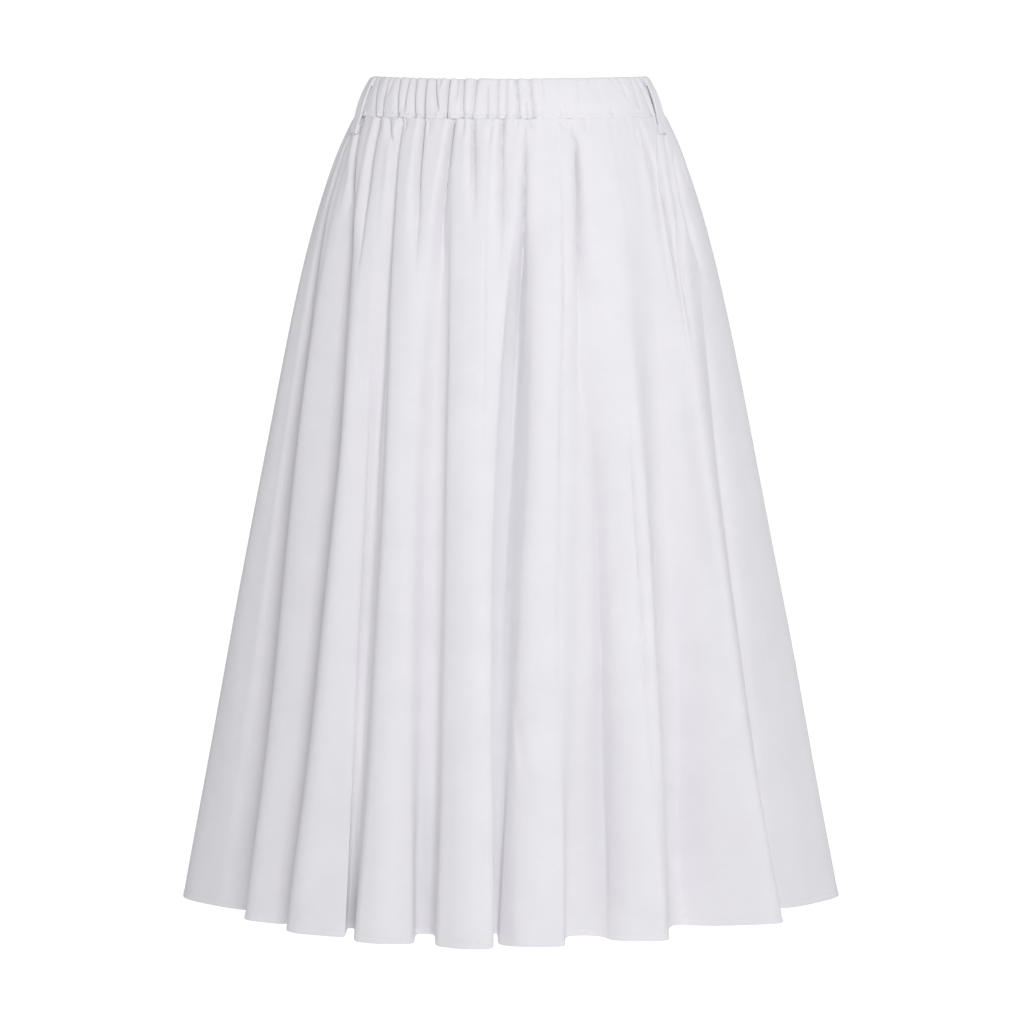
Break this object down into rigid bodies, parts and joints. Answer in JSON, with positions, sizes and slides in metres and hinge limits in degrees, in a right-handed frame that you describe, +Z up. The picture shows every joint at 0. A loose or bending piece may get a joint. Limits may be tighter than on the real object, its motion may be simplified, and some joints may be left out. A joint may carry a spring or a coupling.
{
  "type": "gathered elastic-waist midi skirt",
  "caption": "A-line midi skirt with a gathered elastic waistband, soft hanging pleats, a narrow hem and belt loops at the side seams.",
  "frame": {"origin": "centre of the waistband, half way up it, where the wearer's waist holds the skirt", "axes": "+Z up the wearer, the wearer's front faces -Y, +X to the right of someone who looks at the front"},
  "size_m": [0.6123, 0.5239, 0.7626],
  "materials": {
    "band_cloth": "matt white plain-weave cotton, two layers gathered over elastic",
    "panel_cloth": "matt white plain-weave cotton, single layer",
    "loop_cloth": "matt white plain-weave cotton, folded strip"
  },
  "bodies": {
    "root": {"waistband": "band_cloth", "skirt_front": "panel_cloth", "skirt_back": "panel_cloth", "belt_loop_left": "loop_cloth", "belt_loop_right": "loop_cloth"}
  },
  "joints": []
}
